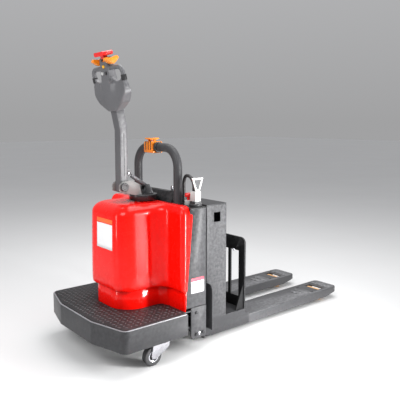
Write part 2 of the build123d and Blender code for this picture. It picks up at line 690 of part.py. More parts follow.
with BuildPart() as tiller_head:
    with BuildSketch(head_plane) as head_plan:
        with BuildLine():
            FilletPolyline((0, head_bottom), (38, head_bottom), (112, 54), (head_side, 106),
                           (head_side, shoulder_up - 12), (head_side - 14, shoulder_up),
                           (column_half, shoulder_up), (column_half, belly_seat_up), (0, belly_seat_up),
                           radius=[8, 40, 40, 10, 6, 14, 12])
            mirror(about=Plane.YZ)
        make_face()
    extrude(amount=head_half, both=True)
    rims = tiller_head.faces().filter_by(Axis(origin=(0, 0, 0), direction=tuple(head_plane.z_dir))).edges()
    fillet(rims, 8)
    slope_cut = [on_head(0, up, out) for up, out in
                 ((shoulder_up, face_out(shoulder_up)), (belly_seat_up + 10, face_out(belly_seat_up + 10)),
                  (belly_seat_up + 10, -head_half - 10), (shoulder_up, -head_half - 10))]
    slab([(point.X, point.Z) for point in slope_cut], (-column_half, column_half), Mode.SUBTRACT)
    for side in (-1, 1):
        with BuildLine() as loop_path:
            FilletPolyline(on_head(side * loop_across, 130), on_head(side * loop_across, loop_top),
                           on_head(side * (column_half - 12), loop_top), radius=[34])
        with BuildSketch(Plane(origin=loop_path.line @ 0, z_dir=loop_path.line % 0)):
            Circle(grip_radius)
        sweep(path=loop_path.line)
    with Locations(head_plane.location * Location((0, paddle_up, 0), (0, 90, 0))):
        Cylinder(6 + running_fit, column_half * 2 + 2, mode=Mode.SUBTRACT)
    with BuildSketch(head_plane):
        with Locations((0, belly_seat_up - belly_depth / 2)):
            Rectangle(30.6, belly_depth)
    extrude(amount=12.3, both=True, mode=Mode.SUBTRACT)
    for across, up in button_up.values():
        with Locations(head_plane.location * Location((across, up, face_out(up) + button_depth / 2 - 3))):
            Cylinder(button_radius + clear, button_depth + 6, mode=Mode.SUBTRACT)
save(tiller_head, "tiller_head")

for name, (across, up) in button_up.items():
    with BuildPart() as button:
        with Locations(head_plane.location * Location((across, up, face_out(up) + 1))):
            Cylinder(button_radius, button_depth)
    save(button, name)

with BuildPart() as rubber_grips:
    for side in (-1, 1):
        with Locations(head_plane.location * Location((side * loop_across, 180, 0), (90, 0, 0))):
            Cylinder(grip_radius + 2.5, 28)
            Cylinder(grip_radius, 28, mode=Mode.SUBTRACT)
save(rubber_grips, "rubber_grips")

paddle_inner = column_half + 12
paddle_shape = [(-40, 8), (-34, 20), (0, 13), (34, 20), (42, 8), (20, -10), (6, -18), (-6, -18), (-20, -10)]
with BuildPart() as throttle_paddles:
    with Locations(head_plane.location * Location((0, paddle_up, 0), (0, 90, 0))):
        Cylinder(6, paddle_inner * 2 + 16)
    for side in (-1, 1):
        paddle = Plane(origin=on_head(side * paddle_inner, paddle_up), x_dir=head_plane.z_dir,
                       z_dir=(0, side, 0))
        with BuildSketch(paddle) as paddle_plan:
            with BuildLine():
                Polyline(*[(out, -up * side) for out, up in paddle_shape], close=True)
            make_face()
            fillet(paddle_plan.vertices(), 3)
        extrude(amount=24)
save(throttle_paddles, "throttle_paddles")

with BuildPart() as belly_button:
    with BuildSketch(head_plane):
        with Locations((0, belly_seat_up + belly_travel + 12)):
            RectangleRounded(92, 22, 9)
    extrude(amount=30, both=True)
    with BuildSketch(head_plane):
        with Locations((0, belly_seat_up + belly_travel / 2 - 3)):
            Rectangle(30, belly_travel + 8)
    extrude(amount=12, both=True)
save(belly_button, "belly_button")

# ---------------------------------------------------------------- gas spring
spring_run = Vector(spring_lug_x - anchor_x, 0, spring_lug_z - anchor_z)
spring_plane = Plane(origin=(anchor_x, 0, anchor_z), x_dir=(0, 1, 0), z_dir=spring_run)
spring_body_radius = 11.0
spring_rod_radius = 5.0
with BuildPart() as gas_spring_body:
    bar((anchor_x, 0, anchor_z), 9, 12, "Y")
    with Locations(spring_plane.location * Location((0, 0, 62))):
        Cylinder(spring_body_radius, 108)
    bar((anchor_x, 0, anchor_z), 5 + running_fit, 12, "Y", Mode.SUBTRACT)
    block((anchor_x - 9, anchor_x + 9), (6, 12), (anchor_z - 9, anchor_z + 9), Mode.SUBTRACT)
    block((anchor_x - 9, anchor_x + 9), (-12, -6), (anchor_z - 9, anchor_z + 9), Mode.SUBTRACT)
    with Locations(spring_plane.location * Location((0, 0, 66.5))):
        Cylinder(spring_rod_radius + running_fit, 100, mode=Mode.SUBTRACT)
save(gas_spring_body, "gas_spring_body")

with BuildPart() as gas_spring_rod:
    rod_end = spring_run.length
    with Locations(spring_plane.location * Location((0, 0, (18 + rod_end) / 2))):
        Cylinder(spring_rod_radius, rod_end - 18)
    bar((spring_lug_x, 0, spring_lug_z), 5, 30, "Y")
save(gas_spring_rod, "gas_spring_rod")

# ================================================================ casters
caster_axle_x = caster_x - caster_trail
crown_z = caster_radius * 2 + 8
for side, hand in ((1, "left"), (-1, "right")):
    y = side * caster_y
    with BuildPart() as caster_fork:
        bar((caster_x, y, base_z - 4 - clear / 2), 40, 8 - clear)
        bar((caster_x, y, (crown_z + base_z - 8) / 2), 28, base_z - 8 - crown_z)
        half = caster_width / 2 + 2
        block((caster_axle_x - 6, caster_x + 26), (y - half - 5, y + half + 5), (crown_z - 6, crown_z))
        for cheek in (-1, 1):
            cheek_y = sorted((y + cheek * half, y + cheek * (half + 5)))
            slab([(caster_x + 26, crown_z), (caster_x + 20, crown_z - 26), (caster_axle_x + 14, caster_radius - 12),
                  (caster_axle_x - 14, caster_radius - 12), (caster_axle_x - 16, caster_radius + 8),
                  (caster_axle_x - 6, crown_z)], cheek_y)
        bar((caster_axle_x, y, caster_radius), 7, 2 * half, "Y")
    save(caster_fork, f"caster_fork_{hand}")
    with BuildPart() as caster_wheel:
        bar((caster_axle_x, y, caster_radius), caster_radius, caster_width, "Y")
        fillet(caster_wheel.edges(), 5)
        bar((caster_axle_x, y, caster_radius), 7 + running_fit, caster_width, "Y", Mode.SUBTRACT)
    save(caster_wheel, f"caster_wheel_{hand}")

# ================================================================ lifting carriage
rail_end_x = backrest_x + 31
with BuildPart() as carriage_frame:
    carriage_x = (plate_rear_x, plate_rear_x + carriage_plate)
    block(carriage_x, (-body_half, body_half), (95, carriage_top_z))
    fillet(carriage_frame.edges().filter_by(Axis.X).group_by(Axis.Z)[-1], 30)
    for side in (-1, 1):
        notch = (side * sum(tongue_y) / 2 - 12, side * sum(tongue_y) / 2 + 12)
        block(carriage_x, notch, (90, tongue_z + 11.6), Mode.SUBTRACT)
        ram = (side * cylinder_y - 18, side * cylinder_y + 18)
        block((cylinder_x - 16, plate_rear_x), ram, (crosshead_z, crosshead_z + 16))
        shoe = (side * guide_y - guide_half + guide_sheet + clear, side * guide_y + guide_half - guide_sheet - clear)
        block((front_x + guide_sheet + clear, plate_rear_x), shoe, (130, carriage_top_z - 20))
        rail = sorted((side * battery_half, side * (battery_half - rail_thickness)))
        slab([(carriage_x[1], tray_z), (rail_end_x, tray_z - 25), (rail_end_x, 38), (carriage_x[1], 38)], rail)
    block((carriage_x[1], backrest_x), (-battery_half + rail_thickness, battery_half - rail_thickness),
          (tray_z - tray_plate, tray_z))
    for side in (-1, 1):
        rail = sorted((side * battery_half, side * (battery_half - rail_thickness)))
        block((carriage_x[1], backrest_x), rail, (tray_z - 30, tray_z))
        hanger = sorted((side * (fork_y - 50), side * (fork_y - 42)))
        block((carriage_x[1], backrest_x), hanger, (fork_top_z - heel_step, tray_z - tray_plate))
save(carriage_frame, "carriage_frame")

with BuildPart() as load_backrest:
    backrest_depth = (backrest_x - backrest_thickness, backrest_x)
    block(backrest_depth, (-battery_half, battery_half), (tray_z, backrest_top_z))
    fillet(load_backrest.edges().filter_by(Axis.X).group_by(Axis.Z)[-1], 34)
    block(backrest_depth, (-battery_half + 50, battery_half - 50), (tray_z + 64, backrest_top_z - 82), Mode.SUBTRACT)
    for side in (-1, 1):
        inner_bar = (side * 170 - 10, side * 170 + 10)
        block(backrest_depth, inner_bar, (tray_z + 60, backrest_top_z - 78))
        bar((backrest_x, side * 230, backrest_top_z - 68), 5.5, 40, "X", Mode.SUBTRACT)
    for side in (-1, 1):
        gusset = sorted((side * 292, side * 284))
        slab([(backrest_x - backrest_thickness, tray_z), (backrest_x - backrest_thickness, tray_z + 150),
              (backrest_x - 70, tray_z)], gusset)
save(load_backrest, "load_backrest")

lid_z = battery_top_z - 8
hole_x = (battery_front_x - 95, battery_front_x - 47)
hole_z = (674.0, 728.0)
battery_span = (battery_rear_x, battery_front_x)
hinge_radius = 4.0
hinge_x = battery_front_x + hinge_radius
hinge_z = lid_z - hinge_radius
hinge_start = 215.0
knuckle_long = 20.0
hinge_pin = 1.6
with BuildPart() as battery_case:
    block(battery_span, (-battery_half, battery_half), (tray_z, lid_z - clear))
    fillet(battery_case.edges().filter_by(Axis.Z), 6)
    inside = battery_half - battery_wall
    block((battery_rear_x + battery_wall, battery_front_x - battery_wall), (-inside, inside),
          (tray_z + battery_wall, lid_z), Mode.SUBTRACT)
    block(hole_x, (-battery_half, battery_half), hole_z, Mode.SUBTRACT)
    for side in (-1, 1):
        knuckle = sorted((side * hinge_start, side * (hinge_start + knuckle_long)))
        bar((hinge_x, sum(knuckle) / 2, hinge_z), hinge_radius - clear, knuckle_long, "Y")
        block((battery_front_x - 1, hinge_x), knuckle, (hinge_z - 10, hinge_z))
        bar((hinge_x, side * (hinge_start + knuckle_long), hinge_z), hinge_pin, knuckle_long * 2 - 4, "Y")
save(battery_case, "battery_case")

with BuildPart() as battery_pack:
    inside = battery_half - battery_wall - 12
    block((battery_rear_x + battery_wall + 6, battery_front_x - battery_wall - 6), (-inside, inside),
          (tray_z + battery_wall, 640))
    with Locations(((battery_rear_x + battery_front_x) / 2, 0, 646)):
        with GridLocations(1, 90, 1, 6):
            Cylinder(14, 12)
save(battery_pack, "battery_pack")

with BuildPart() as battery_lid:
    block(battery_span, (-battery_half, battery_half), (lid_z, battery_top_z))
    fillet(battery_lid.edges().filter_by(Axis.Z), 6)
    fillet(battery_lid.faces().sort_by(Axis.Z)[-1].edges(), 2.5)
    for side in (-1, 1):
        knuckle = sorted((side * (hinge_start + knuckle_long + clear), side * (hinge_start + knuckle_long * 2)))
        middle = (hinge_x, sum(knuckle) / 2, hinge_z)
        bar(middle, hinge_radius - clear, knuckle[1] - knuckle[0], "Y")
        block((battery_front_x + clear, hinge_x + hinge_radius - clear), knuckle, (hinge_z, lid_z + 3))
        block((battery_front_x - 1, hinge_x), knuckle, (lid_z, lid_z + 3))
        bar(middle, hinge_pin + running_fit, knuckle[1] - knuckle[0], "Y", Mode.SUBTRACT)
save(battery_lid, "battery_lid")

fork_tail_x = backrest_x - fork_tail
load_pin_x = tip_x - roller_offset - load_arm_length
inner_half = fork_width / 2 - fork_wall
for side, hand in ((1, "left"), (-1, "right")):
    y = side * fork_y
    with BuildPart() as fork:
        with BuildSketch(Plane.XY.offset(fork_bottom_z)) as fork_plan:
            with BuildLine():
                FilletPolyline((fork_tail_x, y - fork_width / 2), (tip_x, y - fork_width / 2),
                               (tip_x, y + fork_width / 2), (fork_tail_x, y + fork_width / 2), radius=tip_round)
                Line((fork_tail_x, y + fork_width / 2), (fork_tail_x, y - fork_width / 2))
            make_face()
        extrude(amount=fork_height)
        fillet(fork.faces().sort_by(Axis.Z)[-1].edges().sort_by(Axis.X)[1:], 3)
        block((fork_tail_x, tip_x - 40), (y - inner_half, y + inner_half),
              (fork_bottom_z, fork_top_z - fork_skin), Mode.SUBTRACT)
        block((fork_tail_x, backrest_x), (y - fork_width / 2, y + fork_width / 2),
              (fork_top_z - heel_step, fork_top_z), Mode.SUBTRACT)
        slab([(tip_x - 130, fork_bottom_z - 1), (tip_x + 1, fork_bottom_z + 24), (tip_x + 1, fork_bottom_z - 1)],
             (y - fork_width / 2, y + fork_width / 2), Mode.SUBTRACT)
        slots = ((tip_x - 87, 10, 0, 146), (tip_x - 142, 54, 0, 124), (tip_x - 350, 10, 0, 68),
                 (tip_x - 302, 10, 0, 74), (tip_x - 236, 26, -60, 12), (tip_x - 236, 26, 60, 12))
        for x, long, across, wide in slots:
            with Locations((x, y + across, fork_top_z)):
                Box(long, wide, fork_skin * 3, mode=Mode.SUBTRACT)
        bar((load_pin_x, y, load_pin_z), load_pin_radius, 2 * inner_half, "Y")
        inner_wall_y = y - side * (fork_width / 2 - fork_wall / 2)
        bar((rocker_x, inner_wall_y, rocker_z), rocker_radius + running_fit, fork_wall, "Y", Mode.SUBTRACT)
    save(fork, f"fork_{hand}")

# ================================================================ load wheel linkage
roller_x = load_pin_x + load_arm_length
arm_droop = (load_pin_z - roller_radius) / load_arm_length
arm_swing = degrees(0.7434 * lift_travel / 100)
lug_lean = radians(arm_swing / 2)
cheek_half = roller_width / 2 + 2
with BuildPart() as load_arms:
    for side in (-1, 1):
        y = side * fork_y
        for cheek in (-1, 1):
            cheek_y = sorted((y + cheek * cheek_half, y + cheek * (cheek_half + 8)))
            slab([(load_pin_x - 10, load_pin_z + 13), (load_pin_x + 10, load_pin_z + 16),
                  (roller_x + 10, roller_radius + 12), (roller_x + 12, roller_radius - 8),
                  (roller_x - 8, roller_radius - 12), (load_pin_x, load_pin_z - 14)], cheek_y)
        bar((load_pin_x, y, load_pin_z), load_pin_radius + 3.5, 2 * cheek_half + 16, "Y")
        lug_pin = (load_pin_x - arm_lug * sin(lug_lean), load_pin_z + arm_lug * cos(lug_lean))
        bar((lug_pin[0], y, lug_pin[1]), rod_pin_radius, 34, "Y")
        for cheek in (-1, 1):
            lug_y = sorted((y + cheek * 11, y + cheek * 17))
            slab([(load_pin_x - 10, load_pin_z), (load_pin_x + 10, load_pin_z),
                  (lug_pin[0] + 7, lug_pin[1] + 6), (lug_pin[0] - 7, lug_pin[1] + 6)], lug_y)
        bar((roller_x, y, roller_radius), 8, 2 * cheek_half, "Y")
        bar((load_pin_x, y, load_pin_z), load_pin_radius + running_fit, 2 * cheek_half + 16, "Y", Mode.SUBTRACT)
save(load_arms, "load_arms")

for side, hand in ((1, "left"), (-1, "right")):
    with BuildPart() as load_roller:
        bar((roller_x, side * fork_y, roller_radius), roller_radius, roller_width, "Y")
        fillet(load_roller.edges(), 4)
        bar((roller_x, side * fork_y, roller_radius), 8 + running_fit, roller_width, "Y", Mode.SUBTRACT)
    save(load_roller, f"load_roller_{hand}")

rocker_lean = radians(25.8)
with BuildPart() as rocker_shaft:
    bar((rocker_x, 0, rocker_z), rocker_radius, 2 * (fork_y + 30), "Y")
    for side in (-1, 1):
        pin = (rocker_x - rocker_arm * cos(rocker_lean), rocker_z + rocker_arm * sin(rocker_lean))
        arm_y = sorted((side * (tongue_y[0] - 1), side * (tongue_y[0] - 11)))
        slab([(rocker_x + 6, rocker_z + 10), (rocker_x + 6, rocker_z - 10), (pin[0] - 8, pin[1] - 8),
              (pin[0] - 6, pin[1] + 8), (pin[0] + 8, pin[1] + 8)], arm_y)
        bar((pin[0], side * tongue_y[0], pin[1]), rocker_pin_radius, 22, "Y")
        y = side * fork_y
        lug_pin = (rocker_x - rocker_lug * sin(rocker_lean), rocker_z - rocker_lug * cos(rocker_lean))
        bar((lug_pin[0], y, lug_pin[1]), rod_pin_radius, 34, "Y")
        for cheek in (-1, 1):
            lug_y = sorted((y + cheek * 11, y + cheek * 17))
            slab([(rocker_x - 9, rocker_z), (rocker_x + 9, rocker_z), (lug_pin[0] + 7, lug_pin[1] - 6),
                  (lug_pin[0] - 7, lug_pin[1] - 6)], lug_y)
save(rocker_shaft, "rocker_shaft")

eye_play = 1.6
eye_radius = rod_pin_radius + 4.2
rod_start = (rocker_x - rocker_lug * sin(rocker_lean), rocker_z - rocker_lug * (1 + cos(rocker_lean)) / 2)
rod_finish = (load_pin_x - arm_lug * sin(lug_lean), load_pin_z + arm_lug * (1 + cos(lug_lean)) / 2)
with BuildPart() as push_rods:
    for side in (-1, 1):
        y = side * fork_y
        rear, front = (Vector(x, y, z) for x, z in (rod_start, rod_finish))
        for x, z in (rod_start, rod_finish):
            bar((x, y, z), eye_radius, 18, "Y")
        rod_plane = Plane(origin=(rear + front) * 0.5, x_dir=(0, 1, 0), z_dir=front - rear)
        with Locations(rod_plane.location):
            Cylinder(6, (front - rear).length - 12)
        for x, z in (rod_start, rod_finish):
            bar((x, y, z), rod_pin_radius + eye_play, 18, "Y", Mode.SUBTRACT)
save(push_rods, "push_rods")
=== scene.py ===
import json
import math

import bmesh
import bpy
from mathutils import Matrix, Vector


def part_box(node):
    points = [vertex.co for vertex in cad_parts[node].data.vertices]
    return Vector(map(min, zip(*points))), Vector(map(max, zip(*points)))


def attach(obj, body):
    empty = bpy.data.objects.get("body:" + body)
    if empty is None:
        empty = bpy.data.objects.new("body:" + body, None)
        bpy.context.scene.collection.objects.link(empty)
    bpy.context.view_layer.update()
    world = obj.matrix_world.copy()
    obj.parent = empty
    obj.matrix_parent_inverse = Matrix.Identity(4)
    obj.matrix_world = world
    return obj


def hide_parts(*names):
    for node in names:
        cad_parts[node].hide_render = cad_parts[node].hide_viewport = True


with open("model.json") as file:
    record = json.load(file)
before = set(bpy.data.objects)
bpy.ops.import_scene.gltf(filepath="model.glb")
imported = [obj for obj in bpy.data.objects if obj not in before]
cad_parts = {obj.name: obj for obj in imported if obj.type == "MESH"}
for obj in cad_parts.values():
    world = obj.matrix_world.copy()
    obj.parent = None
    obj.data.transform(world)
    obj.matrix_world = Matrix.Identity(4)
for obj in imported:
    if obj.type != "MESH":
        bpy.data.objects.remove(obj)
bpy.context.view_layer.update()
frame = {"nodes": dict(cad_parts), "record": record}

scene = bpy.context.scene
nodes = frame["nodes"]


# ------------------------------------------------------------------ camera, floor and light
def add_camera():
    """The photograph's viewpoint."""
    data = bpy.data.cameras.new("camera")
    data.lens = 47.99
    data.sensor_width = 36
    data.shift_y = -0.054
    data.clip_end = 60
    camera = bpy.data.objects.new("camera", data)
    camera.location = (-2.1296, -2.473, 1.2218)
    camera.rotation_euler = (math.radians(83.944), 0, math.radians(-39.614))
    scene.collection.objects.link(camera)
    scene.camera = camera


def add_area(name, location, target, size, power):
    """A soft rectangular lamp at location, facing target; power in watts."""
    data = bpy.data.lights.new(name, "AREA")
    data.shape = "RECTANGLE"
    data.size, data.size_y = size
    data.energy = power
    light = bpy.data.objects.new(name, data)
    light.location = location
    light.rotation_mode = "QUATERNION"
    aim = Vector(target) - Vector(location)
    light.rotation_quaternion = aim.to_track_quat("-Z", "Y")
    light.visible_camera = False
    scene.collection.objects.link(light)


def add_stage(paint):
    """The floor, the sky's soft gradient and the lamps."""
    mesh = bpy.data.meshes.new("floor")
    reach = 30.0
    corners = [(-reach, -reach, 0), (reach, -reach, 0), (reach, reach, 0), (-reach, reach, 0)]
    mesh.from_pydata(corners, [], [(0, 1, 2, 3)])
    floor = bpy.data.objects.new("floor", mesh)
    scene.collection.objects.link(floor)
    floor.data.materials.append(paint)
    world = bpy.data.worlds.new("studio")
    world.use_nodes = True
    tree = world.node_tree
    height = tree.nodes.new("ShaderNodeSeparateXYZ")
    place = tree.nodes.new("ShaderNodeTexCoord")
    tree.links.new(place.outputs["Generated"], height.inputs["Vector"])
    sky = ramp(tree, height.outputs["Z"], 0.0, 0.6, (0.36, 0.36, 0.365), (0.56, 0.565, 0.58))
    tree.links.new(sky, tree.nodes["Background"].inputs["Color"])
    scene.world = world
    scene.view_settings.view_transform = "Standard"
    add_area("key", (-3.0, -1.3, 3.0), (-0.5, 0, 0.6), (1.6, 1.6), 62)
    add_area("overhead", (0.3, 0.0, 3.6), (0.0, 0, 0.3), (3.4, 2.2), 105)
    add_area("side", (1.6, -3.4, 1.8), (0.2, -0.2, 0.4), (1.6, 1.4), 30)
    add_area("strip", (0.18, -1.36, 0.60), (-0.58, -0.19, 0.58), (0.16, 1.12), 42)
    add_area("rear_strip", (-2.9, 0.4, 0.9), (-0.7, 0.0, 0.6), (0.25, 1.4), 14)


# ------------------------------------------------------------------ materials
def new_tree(name):
    """A new material with its node tree and main shader."""
    made = bpy.data.materials.new(name)
    made.use_nodes = True
    tree = made.node_tree
    return made, tree, tree.nodes["Principled BSDF"]


def noise(tree, scale, detail=4.0, stretch=None):
    """A noise texture in metres; scale is features per metre."""
    place = tree.nodes.new("ShaderNodeTexCoord")
    texture = tree.nodes.new("ShaderNodeTexNoise")
    texture.inputs["Scale"].default_value = scale
    texture.inputs["Detail"].default_value = detail
    source = place.outputs["Object"]
    if stretch:
        mapping = tree.nodes.new("ShaderNodeMapping")
        mapping.inputs["Scale"].default_value = stretch
        tree.links.new(source, mapping.inputs["Vector"])
        source = mapping.outputs["Vector"]
    tree.links.new(source, texture.inputs["Vector"])
    return texture.outputs["Fac"]


def ramp(tree, source, low, high, first, second):
    """Maps source from low..high onto two colours."""
    node = tree.nodes.new("ShaderNodeValToRGB")
    node.color_ramp.elements[0].position = low
    node.color_ramp.elements[1].position = high
    node.color_ramp.elements[0].color = (*first, 1)
    node.color_ramp.elements[1].color = (*second, 1)
    tree.links.new(source, node.inputs["Fac"])
    return node.outputs["Color"]


def spread(tree, source, low, high):
    """Maps source from its usual range onto low..high."""
    node = tree.nodes.new("ShaderNodeMapRange")
    node.inputs["From Min"].default_value = 0.3
    node.inputs["From Max"].default_value = 0.7
    node.inputs["To Min"].default_value = low
    node.inputs["To Max"].default_value = high
    tree.links.new(source, node.inputs["Value"])
    return node.outputs["Result"]


def edge_wear(tree, colour, worn):
    """Lightens the colour along convex edges, broken up by noise."""
    geometry = tree.nodes.new("ShaderNodeNewGeometry")
    edge = tree.nodes.new("ShaderNodeMapRange")
    edge.inputs["From Min"].default_value = 0.52
    edge.inputs["From Max"].default_value = 0.62
    tree.links.new(geometry.outputs["Pointiness"], edge.inputs["Value"])
    breakup = tree.nodes.new("ShaderNodeMath")
    breakup.operation = "MULTIPLY"
    tree.links.new(edge.outputs["Result"], breakup.inputs[0])
    tree.links.new(spread(tree, noise(tree, 60, 6), 0.0, 1.0), breakup.inputs[1])
    mix = tree.nodes.new("ShaderNodeMix")
    mix.data_type = "RGBA"
    tree.links.new(breakup.outputs[0], mix.inputs["Factor"])
    tree.links.new(colour, mix.inputs["A"])
    mix.inputs["B"].default_value = (*worn, 1)
    return mix.outputs["Result"]


def bump(tree, shader, source, distance):
    """Lets source raise the surface by up to a distance in metres."""
    node = tree.nodes.new("ShaderNodeBump")
    node.inputs["Strength"].default_value = 0.4
    node.inputs["Distance"].default_value = distance
    tree.links.new(source, node.inputs["Height"])
    tree.links.new(node.outputs["Normal"], shader.inputs["Normal"])


def finish(name, dark, light, rough, grain, depth, metallic=0.0, coat=0.0, patch=6.0, stretch=None, worn=None,
           specular=0.5):
    """A surface with slow colour variation, uneven gloss and a fine grain in its bump."""
    made, tree, shader = new_tree(name)
    broad = noise(tree, patch, 5.0, stretch)
    colour = ramp(tree, broad, 0.3, 0.7, dark, light)
    if worn:
        colour = edge_wear(tree, colour, worn)
    tree.links.new(colour, shader.inputs["Base Color"])
    tree.links.new(spread(tree, noise(tree, patch * 5, 6.0), *rough), shader.inputs["Roughness"])
    bump(tree, shader, noise(tree, grain, 3.0, stretch), depth)
    shader.inputs["Metallic"].default_value = metallic
    shader.inputs["Specular IOR Level"].default_value = specular
    shader.inputs["Coat Weight"].default_value = coat
    shader.inputs["Coat Roughness"].default_value = 0.05
    return made


def tones(level, step, tint=(1, 1, 1.06)):
    """Two near greys, the second a step lighter."""
    return tuple(level * t for t in tint), tuple((level + step) * t for t in tint)


powder = dict(worn=(0.10, 0.10, 0.104), specular=0.18)
red_gloss = dict(coat=0.35, specular=0.10)
materials = {
    "painted_black": finish("painted_black", *tones(0.038, 0.005), (0.34, 0.42), 900, 0.00008, **powder),
    # painted shade: the backrest's dark grey steel is made near black for the shade on its rear face
    "rack_shaded_black": finish("rack_shaded_black", *tones(0.010, 0.005), (0.3, 0.4), 900, 0.0002, **powder),
    "hood_red": finish("hood_red", (0.86, 0.0035, 0.0012), (0.90, 0.005, 0.0016), (0.24, 0.29), 520, 0.00003,
                       **red_gloss),
    "deck_trim": finish("deck_trim", *tones(0.012, 0.004), (0.34, 0.44), 700, 0.00015, **powder),
    "tread": finish("tread", *tones(0.016, 0.008), (0.45, 0.62), 700, 0.0004, patch=14, specular=0.3),
    "arch_coat": finish("arch_coat", *tones(0.042, 0.01), (0.36, 0.46), 1200, 0.0004, **powder),
    "black_plastic": finish("black_plastic", *tones(0.032, 0.010), (0.38, 0.5), 1500, 0.0003, specular=0.4),
    "arm_coat": finish("arm_coat", *tones(0.082, 0.014), (0.38, 0.48), 1200, 0.0003,
                       worn=(0.22, 0.22, 0.225)),
    "head_plastic": finish("head_plastic", *tones(0.098, 0.02), (0.36, 0.46), 1500, 0.0002),
    "grey_plastic": finish("grey_plastic", *tones(0.50, 0.06, (1, 1, 0.98)), (0.36, 0.48), 1200, 0.0002),
    "orange_plastic": finish("orange_plastic", (0.84, 0.22, 0.006), (0.90, 0.28, 0.01), (0.28, 0.38), 1000,
                             0.0002),
    "red_plastic": finish("red_plastic", (0.72, 0.006, 0.004), (0.8, 0.010, 0.008), (0.24, 0.34), 900, 0.0001,
                          coat=0.4),
    "green_plastic": finish("green_plastic", (0.8, 0.40, 0.02), (0.86, 0.46, 0.04), (0.3, 0.4), 1000, 0.0002),
    "steel": finish("steel", *tones(0.16, 0.06), (0.2, 0.34), 500, 0.0001, metallic=1.0, stretch=(1, 1, 14)),
    "dark_steel": finish("dark_steel", *tones(0.040, 0.02), (0.2, 0.3), 500, 0.0001, metallic=0.6),
    "bright": finish("bright", *tones(0.62, 0.12), (0.14, 0.24), 500, 0.00005, metallic=1.0),
    "gas_spring_paint": finish("gas_spring_paint", *tones(0.16, 0.04), (0.28, 0.38), 900, 0.0001),
    "cast": finish("cast", *tones(0.09, 0.04), (0.5, 0.7), 380, 0.0012),
    "bracket": finish("bracket", *tones(0.20, 0.04, (1, 1, 0.98)), (0.42, 0.54), 700, 0.0005, specular=0.3),
    "motor": finish("motor", *tones(0.05, 0.02), (0.4, 0.5), 700, 0.0002),
    "polyurethane": finish("polyurethane", (0.66, 0.34, 0.13), (0.78, 0.44, 0.2), (0.38, 0.52), 500, 0.0004),
    "drive_rubber": finish("drive_rubber", *tones(0.03, 0.02), (0.6, 0.8), 500, 0.0008),
    "caster_zinc": finish("caster_zinc", *tones(0.40, 0.2), (0.2, 0.36), 300, 0.0002, metallic=1.0),
    "caster_tread": finish("caster_tread", *tones(0.03, 0.02), (0.5, 0.7), 600, 0.0005),
    "cell": finish("cell", (0.03, 0.04, 0.12), (0.05, 0.06, 0.16), (0.4, 0.5), 500, 0.0002),
    "cable": finish("cable", *tones(0.014, 0.008), (0.42, 0.58), 900, 0.0004),
    "fork_paint": finish("fork_paint", *tones(0.048, 0.012), (0.30, 0.42), 700, 0.0003, patch=9,
                         worn=(0.3, 0.3, 0.31)),
    "stud": finish("stud", *tones(0.060, 0.03), (0.36, 0.5), 500, 0.0003, specular=0.4),
    # a real raised lip; its light grey colour is a painted highlight along the platform's rim
    "painted_highlight_bead": finish("painted_highlight_bead", *tones(0.20, 0.06), (0.3, 0.42), 500, 0.0002),
    "label": finish("label", *tones(0.80, 0.04, (1, 1, 1)), (0.35, 0.45), 700, 0.00003),
    "label_red": finish("label_red", (0.66, 0.02, 0.05), (0.74, 0.03, 0.07), (0.35, 0.45), 700, 0.00003),
    "label_orange": finish("label_orange", (0.88, 0.12, 0.02), (0.92, 0.15, 0.03), (0.35, 0.45), 700,
                           0.00003),
    "floor": finish("floor", *tones(0.66, 0.02, (1, 1, 1)), (0.7, 0.85), 300, 0.0001, patch=0.8,
                    specular=0.2),
}


# ------------------------------------------------------------------ shape helpers
def rounded(points, radii, steps=10, closed=False):
    """A polyline with its corners replaced by arcs; an arc takes at most half of the shorter side."""
    out = []
    count = len(points)
    for i, point in enumerate(points):
        here = Vector(point)
        if not closed and i in (0, count - 1):
            out.append(here)
            continue
        before, after = Vector(points[i - 1]), Vector(points[(i + 1) % count])
        back, ahead = (before - here).normalized(), (after - here).normalized()
        half = back.angle(ahead) / 2
        radius = radii[i % len(radii)]
        longest = min((before - here).length, (after - here).length) * 0.49
        reach = min(radius / math.tan(half), longest)
        radius = reach * math.tan(half)
        centre = here + (back + ahead).normalized() * (radius / math.sin(half))
        start, finish_at = here + back * reach - centre, here + ahead * reach - centre
        sweep = start.angle_signed(finish_at)
        for n in range(steps + 1):
            turn = Matrix.Rotation(-sweep * n / steps, 2)
            out.append(centre + turn @ start)
    return out


def make_object(name, mesh, material, body, smooth=40):
    """A piece of the object, shaded smooth up to an angle in degrees, riding on a body."""
    thing = bpy.data.objects.new(name, mesh)
    scene.collection.objects.link(thing)
    mesh.materials.append(material)
    for face in mesh.polygons:
        face.use_smooth = True
    mesh.set_sharp_from_angle(angle=math.radians(smooth))
    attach(thing, body)
    return thing


def soften(thing, width):
    """Rounds the sharp edges of a piece."""
    bevel = thing.modifiers.new("edges", "BEVEL")
    bevel.width = width
    bevel.segments = 2
    bevel.limit_method = "ANGLE"
    bevel.angle_limit = math.radians(38)
    bevel.harden_normals = True


def bridge(bm, rows, closed):
    """Faces between rows of the same number of vertices."""
    count = len(rows[0])
    for lower, upper in zip(rows, rows[1:]):
        for i in range(count if closed else count - 1):
            j = (i + 1) % count
            bm.faces.new((lower[i], lower[j], upper[j], upper[i]))


def circle_angles(count):
    """Evenly spaced angles round a circle."""
    return [2 * math.pi * n / count for n in range(count)]


def to_mesh(bm, name):
    """The mesh of bm with its faces turned outwards."""
    bmesh.ops.recalc_face_normals(bm, faces=bm.faces)
    mesh = bpy.data.meshes.new(name)
    bm.to_mesh(mesh)
    bm.free()
    return mesh


def closed_mesh(bm, rows, name):
    """The solid mesh between rings of vertices."""
    bridge(bm, rows, True)
    bm.faces.new(rows[0])
    bm.faces.new(rows[-1])
    return to_mesh(bm, name)


